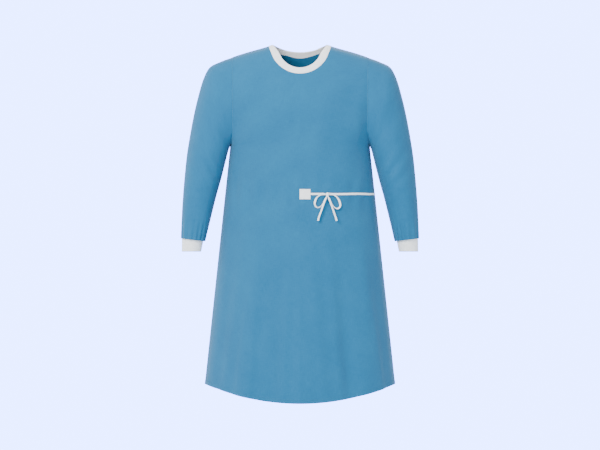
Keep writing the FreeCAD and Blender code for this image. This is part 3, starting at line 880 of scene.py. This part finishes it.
def make_body(materials):
    gown = materials["gown"]
    plane = front_half_grid()
    left = front_surface(plane, 0.4)
    right = front_surface(plane * (-1, 1), 2.1)
    centre = smooth(np.abs(plane[..., 0]), 0, 60)[..., None]
    even = (left + mirrored(right)) / 2
    left = centre * left + (1 - centre) * even
    right = centre * right + (1 - centre) * mirrored(even)
    front = cloth_piece("front_cloth", [left, right[:, ::-1]], gown)
    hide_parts("front_panel")
    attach(front, "root")

    outer_plane = back_plane(OUTER_EDGE_X, 1, -1)
    outer = back_surface(outer_plane, 1.3, 0.0)
    outer_back = cloth_piece("outer_back_cloth", [outer], gown)
    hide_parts("back_panel_right", "back_flap")

    inner_plane = back_plane(INNER_EDGE_X, -1, 1)
    inner = back_surface(inner_plane, 1.3, lap_inset(inner_plane[..., 0], inner_plane[..., 1]))
    inner_back = cloth_piece("inner_back_cloth", [inner], gown, flip=True)
    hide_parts("back_panel_left")
    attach(inner_back, "root")
    return front, outer_back, inner_back, (left, right, outer, inner)


def bend_flap(item):
    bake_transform(item)


def hand(side):
    return "left" if side > 0 else "right"


def bend_sleeve(item, part):
    if part == "top":
        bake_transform(item)
    else:
        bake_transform(item)


def make_sleeve(materials, side, phase):
    word = hand(side)
    stations = np.concatenate([np.linspace(0, 1, 26)[:-1], np.linspace(1, 2, 24)[:-1],
                               np.linspace(2, 6, 96)])
    rings = sleeve_rings(stations, phase) * np.array([side, 1, 1])
    reach = rings.mean(axis=1)
    past = np.abs(reach[:, 0]) * SLEEVE_SPLIT[0] + reach[:, 2] * SLEEVE_SPLIT[1]
    split = int(np.argmax(past > SPLIT_AT))
    top_rings = rings[:split + 1]
    low_rings = rings[split:]
    # the sleeve's end is turned in over the cuff
    end = rings[-1]
    centre = end.mean(axis=0)
    fold = [centre + (end - centre) * (wide, deep, wide) + np.array([side * 0.1, 0, -1]) * drop
            for wide, deep, drop in ((0.995, 0.995, 0.8), (0.96, 0.94, 1.4), (0.90, 0.84, 0.8),
                                     (0.86, 0.775, -1.5))]
    low_rings = np.concatenate([low_rings, np.stack(fold)])
    flip = side < 0
    pieces = []
    for part, grid in (("top", top_rings), ("low", low_rings)):
        pieces.append(cloth_piece(f"{word}_sleeve_{part}", [grid], materials["gown"],
                                  closed=True, flip=flip))
    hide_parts(f"{word}_sleeve_cap", f"{word}_upper_sleeve")
    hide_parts(f"{word}_elbow_section", f"{word}_lower_sleeve")
    bend_sleeve(pieces[0], "top")
    bend_sleeve(pieces[1], "low")
    return rings, pieces


CUFF_TOP = (357.5, -640, 37.2)
CUFF_END = (362.8, -691, 32.4)
CUFF_RIBS = 44


def make_cuff(materials, side):
    word = hand(side)
    columns = CUFF_RIBS * 8
    angle = full_turn(columns)
    wave = 0.35 * np.cos(angle * CUFF_RIBS)
    profile = [(share, 0.0) for share in np.linspace(0, 0.95, 16)]
    profile += [(0.985, -0.5), (1.0, -1.3), (0.985, -2.1)]
    profile += [(share, -2.4) for share in np.linspace(0.94, 0.0, 8)]
    rings = []
    for share, out in profile:
        x = CUFF_TOP[0] + (CUFF_END[0] - CUFF_TOP[0]) * share
        z = CUFF_TOP[1] + (CUFF_END[1] - CUFF_TOP[1]) * share
        half = CUFF_TOP[2] + (CUFF_END[2] - CUFF_TOP[2]) * share + out - 0.3
        ribs = wave * (1 if out > -1 else -0.6)
        pinch = 1.4 * smooth(share, 0.2, 0) if out > -1 else 0
        swell = half + ribs - pinch
        rings.append(join(x + swell * np.cos(angle), -0.9 * swell * np.sin(angle),
                          np.full(columns, z)))
    grid = np.stack(rings) * np.array([side, 1, 1])
    item = cloth_piece(f"{word}_cuff_knit", [grid], materials["rib"], thick=0,
                       closed=True, flip=side < 0)
    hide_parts(f"{word}_cuff")
    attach(item, f"{word}_forearm")


# ---- neckband and closure ----

BAND_RIBS = (3.4, 0.35)
BAND_INSET = 0.6
PAD_X = (70, 91)
TAB_X = (58, 89)
TAB_STITCH_IN = 2.5


def surface_normal(points):
    """Outward direction that leans upwards towards the neck."""
    rise = smooth(-points[:, 2], 140, 20)[:, None] * np.array([0, 0, 0.9])
    return unit(torso_normal(points) + rise)


def neck_path(edge, side):
    """One edge of the neckband in space from the middle to the shoulder ridge, x positive."""
    if edge == "low":
        flat = band_edge(side)
    elif side < 0:
        flat = neck_arc(FRONT_NECK, 63, 90)
        rise = curved([0, 1, 2, 3, 4], [flat[-4], (70, -25.5), (77, -15.5), (83, -7), (88, -1)],
                      np.linspace(0, 4, 40))
        flat = np.concatenate([flat[:-4], rise])
    else:
        flat = neck_arc(BACK_NECK, BAND_TOP_X, 90)
    flat[:, 1] = np.minimum(flat[:, 1], 0)
    points = on_torso(flat[:, 0], flat[:, 1], side)
    if edge == "top":
        points = np.concatenate([points, [(90, 0, 0)]])
    return points


def make_neckband(materials):
    rib = materials["rib"]
    stations = 480
    tops = neck_path("top", -1)
    lows = neck_path("low", -1)
    top = resample(np.concatenate([mirrored(tops)[::-1], tops[1:]]), stations)
    low = resample(np.concatenate([mirrored(lows)[::-1], lows[1:]]), stations)
    normal = surface_normal((top + low) / 2)
    shift = normal * BAND_INSET
    front = ribbon("neckband_front_knit", top - shift, low - shift, normal, 2.6, rib, "rib_knit",
                   bulge=1.2, ribs=BAND_RIBS, sides=20)
    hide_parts("neckband_front")
    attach(front, "root")

    for word, side, end_x in (("right", -1, OUTER_EDGE_X), ("left", 1, -INNER_EDGE_X)):
        edges = []
        for edge in ("top", "low"):
            half = neck_path(edge, 1)
            beyond = half[half[:, 0] < end_x]
            tip = on_torso(np.array([end_x]), back_band_z(np.array([abs(end_x)]), edge), 1)
            beyond = np.concatenate([beyond, tip])
            line = np.concatenate([mirrored(beyond)[::-1], half[1:]])
            edges.append(resample(line, stations) * np.array([side, 1, 1]))
        top, low = edges
        middle = (top + low) / 2
        normal = surface_normal(middle)
        inset = np.full(stations, BAND_INSET)
        thick = np.full(stations, 2.4)
        if word == "left":
            under = 1 - smooth(middle[:, 0], OUTER_EDGE_X + 2, OUTER_EDGE_X + 14)
            inset = inset + 3.3 * under
            thick = thick - 0.8 * under
        shift = normal * inset[:, None]
        band = ribbon(f"neckband_back_{word}_knit", top - shift, low - shift, normal, thick, rib,
                      "rib_knit", bulge=0.7, ribs=BAND_RIBS, sides=20)
        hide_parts(f"neckband_back_{word}")
        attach(band, "root")


def closure_strip(name, span, out, thick, material, slot, margin):
    """A strip on the back neckband. margin is what it leaves free at the band's edges."""
    x = np.linspace(*span, 40)
    top_z = back_band_z(x, "top") - margin
    low_z = back_band_z(x, "low") + margin
    top = on_torso(x, np.minimum(top_z, 0), 1)
    low = on_torso(x, low_z, 1)
    normal = surface_normal((top + low) / 2)
    return ribbon(name, top + normal * out, low + normal * out, normal, thick, material, slot,
                  bulge=0.3, sides=16)


def make_closure(materials):
    pad = closure_strip("neck_loop_strip", PAD_X, 1.5, 0.8, materials["hook"], "loop_strip", 1.5)
    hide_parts("neck_loop_pad")
    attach(pad, "root")
    tab = closure_strip("neck_tab_strip", TAB_X, 2.9, 0.9, materials["tape"], "hook_strip", 0.6)
    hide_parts("neck_tab")
    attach(tab, "hook_tab")
    near, far = TAB_X[0] + TAB_STITCH_IN, TAB_X[1] - TAB_STITCH_IN
    edges = []
    for x, edge in ((near, "top"), (far, "top"), (far, "low"), (near, "low")):
        inward = -2.8 if edge == "top" else 2.8
        edges.append((x, float(back_band_z(x, edge)) + inward))
    line = resample(looped(edges), 120)
    path = on_torso(line[:, 0], line[:, 1], 1)
    normal = surface_normal(path)
    seam = stitches("neck_tab_stitches", path + normal * 3.5, normal, materials["white_thread"],
                    pitch=3.4, length=2.3, radius=0.3)
    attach(seam, "hook_tab")


# ---- patches, belt and knot ----

def around(x, z, side, out):
    """Points and outward normals on the body's surface, moved outwards."""
    x = np.asarray(x, float)
    z = np.broadcast_to(np.asarray(z, float), x.shape)
    points = on_torso(x, z, side)
    normal = torso_normal(points)
    return points + normal * out, normal


# piece, CAD node, middle x and z, width, height, side, and how far off the torso's surface
PATCHES = (
    ("front_patch", "tie_patch", 16.7, -498.7, 36.4, 34.4, -1, 0.5),
    ("belt_end_patch", "belt_patch", 93, TIE_Z, 26, 26, 1, 0.5),
    ("inner_patch_left", "inner_tie_patch_left", -72, TIE_Z, 24, 24, 1, -5.4),
)
FRONT_TIE_X = (34, 84.5)
# the belt's ends, in degrees round the body from the middle of the front
BELT_TURN = (22, 157.5)
STITCH_INSET = 2.6
STITCH_OUT = 0.62


def make_patch(name, node, middle_x, middle_z, width, height, side, out, materials):
    """A sewn square patch. A patch inside the gown has its stitches on its inner face."""
    x = np.linspace(middle_x - width / 2, middle_x + width / 2, 40)
    top, normal = around(x, middle_z + height / 2, side, out)
    low, _ = around(x, middle_z - height / 2, side, out)
    item = ribbon(name, top, low, normal, 0.9, materials["patch"], "white_patch", bulge=0.25)
    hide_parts(node)
    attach(item, "root")
    reach = np.array([width / 2 - STITCH_INSET, height / 2 - STITCH_INSET])
    centre = (middle_x, middle_z)
    corners = looped(np.array([(-1, -1), (1, -1), (1, 1), (-1, 1)], float))
    lines = [resample(corners * reach + centre, 160)]
    if name == "front_patch":
        lines += [resample(np.array([(-sign, -1), (sign, 1)], float) * reach * 0.9 + centre, 60)
                  for sign in (1, -1)]
    facing = 1 if out > 0 else -1
    for number, line in enumerate(lines):
        path, normal = around(line[:, 0], line[:, 1], side, out + facing * STITCH_OUT)
        normal = normal * facing
        row = stitches(f"{name}_stitches_{number}", path, normal, materials["white_thread"],
                       pitch=3.6, length=2.4, radius=0.32)
        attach(row, "root")


def make_side_patch(material):
    """The other inner patch, inside the right side seam."""
    height = np.linspace(TIE_Z - 12, TIE_Z + 12, 30)
    wide, _ = torso_size(height)
    edge = join(-(wide - 2.5), np.full(30, -12.0), height)
    normal = np.tile(np.array([-1.0, 0, 0]), (30, 1))
    inner = ribbon("inner_patch_right", edge, edge * (1, -1, 1), normal, 0.8, material,
                   "white_patch", bulge=0.2)
    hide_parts("inner_tie_patch_right")
    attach(inner, "root")


def make_front_tie(tape):
    """The sewn tape from the front patch to the knot, gathered where it goes in."""
    x = np.linspace(*FRONT_TIE_X, 60)
    ripple = 0.25 * np.sin(x / 3.1) + 0.15 * np.sin(x / 1.3)
    half = TAPE_WIDTH / 2 * (1 - 0.35 * smooth(x, 78, FRONT_TIE_X[1]))
    top, normal = around(x, TIE_Z + half, -1, 0.6)
    low, _ = around(x, TIE_Z - half, -1, 0.6)
    strap = ribbon("front_tie_tape", top + normal * ripple[:, None], low, normal, TAPE_THICK,
                   tape, "white_tape", bulge=0.2)
    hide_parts("front_tie")
    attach(strap, "root")


def make_belt(tape):
    """The tape from the knot round the left side to the patch on the back."""
    wide, deep = torso_size(TIE_Z)
    turn = np.radians(np.linspace(*BELT_TURN, 240))
    middle = join(wide * np.sin(turn), -deep * np.cos(turn), np.full(240, TIE_Z))
    normal = torso_normal(middle)
    centre = middle + normal * 0.6
    centre[:, 2] += 0.5 * np.sin(turn * 9)
    rise = np.array([0, 0, TAPE_WIDTH / 2])
    belt = ribbon("waist_belt_tape", centre + rise, centre - rise, normal, TAPE_THICK, tape,
                  "white_tape", bulge=0.2)
    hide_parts("waist_belt")
    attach(belt, "root")


KNOT = np.array([91.2, -142.1, -498.6])
# width, half height, half depth, lean and shift of the two turns of tape
KNOT_TURNS = (
    (8.0, 6.8, 4.6, 0.10, (0.2, -0.3, -2.0)), (10.2, 4.6, 3.6, -0.22, (0, 0.3, -1.4)),
)


def make_knot(tape):
    """The knot: tape wrapped round the crossing, with the wrapped core showing at its sides."""
    turn = full_turn(64)
    pieces = []
    for number, (width, high, deep, lean, shift) in enumerate(KNOT_TURNS):
        ring = join(lean * high * np.sin(turn), -deep * np.cos(turn), high * np.sin(turn))
        ring = ring + KNOT + np.array(shift)
        normal = join(np.zeros(64), -np.cos(turn) / deep, np.sin(turn) / high)
        squeeze = (width / 2) * (1 - 0.18 * np.abs(np.sin(turn)))
        side = join(squeeze, np.zeros(64), np.zeros(64))
        pieces.append(ribbon(f"knot_wrap_{number}", ring + side, ring - side, normal, 0.9, tape,
                             "white_tape", bulge=0.5, closed=True))
    pieces.append(ribbon("knot_core", *knot_core(), 4.2, tape, "white_tape", sides=20))
    for item in pieces:
        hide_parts("tie_knot")
        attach(item, "root")


def knot_core():
    """Edges and normals of the core, which is thickest in its middle."""
    x = np.linspace(-6.8, 6.8, 20)
    swell = 3.0 * np.sqrt(np.clip(1 - (x / 7.6) ** 2, 0.05, 1))
    middle = join(x, np.zeros(20), np.zeros(20)) + KNOT
    rise = join(np.zeros(20), np.zeros(20), swell)
    return middle + rise, middle - rise, np.tile(np.array([0, -1.0, 0]), (20, 1))


# ---- seams and hems ----

STITCH_GAP = 0.1
HEM_STITCH_UP = 13
EDGE_STITCH_IN = 11


def seam_cord(name, path, radius, material):
    """A thin rounded seam line along a path."""
    ahead = unit(np.gradient(path, axis=0))
    side = unit(np.cross(ahead, np.array([0.2, 0.3, 0.93])))
    up = unit(np.cross(side, ahead))
    turn = np.arange(8) * math.pi / 4
    ring = [path + radius * (side * math.cos(t) + up * math.sin(t)) for t in turn]
    grid = np.stack(ring, axis=1)
    return cloth_piece(name, [grid], material, thick=0, closed=True)


def make_seams(thread, panels, rings):
    """Side, shoulder and armhole seams, and the stitches round the armholes."""
    left, right = panels[:2]
    for word, grid in (("left", left), ("right", right)):
        side = seam_cord(f"{word}_side_seam", grid[:LOWER_ROWS, -1], 0.8, thread)
        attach(side, "root")
        shoulder = seam_cord(f"{word}_shoulder_seam", grid[-1, :], 0.8, thread)
        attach(shoulder, "root")
    for side, word in ((1, "left"), (-1, "right")):
        loop, second = rings[word][:2]
        seam = seam_cord(f"{word}_armhole_seam", looped(loop), 0.9, thread)
        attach(seam, "root")
        row = second + unit(second - second.mean(axis=0)) * STITCH_GAP
        line = resample(looped(row), 400)
        normal = unit(line - line.mean(axis=0))
        sewn = stitches(f"{word}_armhole_stitches", line, normal, thread)
        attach(sewn, "root")


def hem_row(grid, up):
    """A line on a panel grid that stays at one distance above its hem."""
    heights = np.array([np.interp(up, running_length(grid[:12, c]), np.arange(12))
                        for c in range(grid.shape[1])])
    low = np.floor(heights).astype(int)
    part = (heights - low)[:, None]
    columns = np.arange(grid.shape[1])
    return grid[low, columns] * (1 - part) + grid[low + 1, columns] * part


def edge_row(grid, inward):
    """A line on a panel grid at one distance from its free edge."""
    return np.array([at_lengths(inward, running_length(row), row) for row in grid[1:-1, :16]])


def make_hems(thread, panels):
    """Rows of stitches along the hem and the free edges of the back panels."""
    left, right, outer, inner = panels
    for name, grid, body in (("front_left", left, "root"), ("front_right", right, "root"),
                             ("outer_back", outer, None), ("inner_back", inner, "root")):
        rows = [("hem", hem_row(grid, HEM_STITCH_UP))]
        if "back" in name:
            rows.append(("edge", edge_row(grid, EDGE_STITCH_IN)))
        for word, path in rows:
            line = resample(path, 500)
            normal = torso_normal(line)
            item = stitches(f"{name}_{word}_stitches", line + normal * STITCH_GAP, normal, thread)
            if body:
                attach(item, body)
            else:
                bend_flap(item)


def make_sleeve_stitches(materials, rings, side):
    word = hand(side)
    line = resample(looped(rings[-5]), 300)
    normal = unit(line - line.mean(axis=0))
    item = stitches(f"{word}_sleeve_end_stitches", line + normal * STITCH_GAP, normal,
                    materials["thread"])
    bend_sleeve(item, "low")


make_stage()
MATERIALS = make_materials()
make_bow(MATERIALS)
FRONT, OUTER_BACK, INNER_BACK, PANELS = make_body(MATERIALS)
RINGS, SLEEVES = {}, []
for SIDE, WORD, PHASE in ((1, "left", 0.5), (-1, "right", 1.9)):
    RINGS[WORD], PIECES = make_sleeve(MATERIALS, SIDE, PHASE)
    SLEEVES.append(PIECES)
    make_cuff(MATERIALS, SIDE)
    make_sleeve_stitches(MATERIALS, RINGS[WORD], SIDE)
make_neckband(MATERIALS)
make_closure(MATERIALS)
for PATCH in PATCHES:
    make_patch(*PATCH, MATERIALS)
make_front_tie(MATERIALS["tape"])
make_belt(MATERIALS["tape"])
make_side_patch(MATERIALS["patch"])
make_knot(MATERIALS["tape"])
make_seams(MATERIALS["thread"], PANELS, RINGS)
make_hems(MATERIALS["thread"], PANELS)
bend_flap(OUTER_BACK)

bpy.context.view_layer.update()
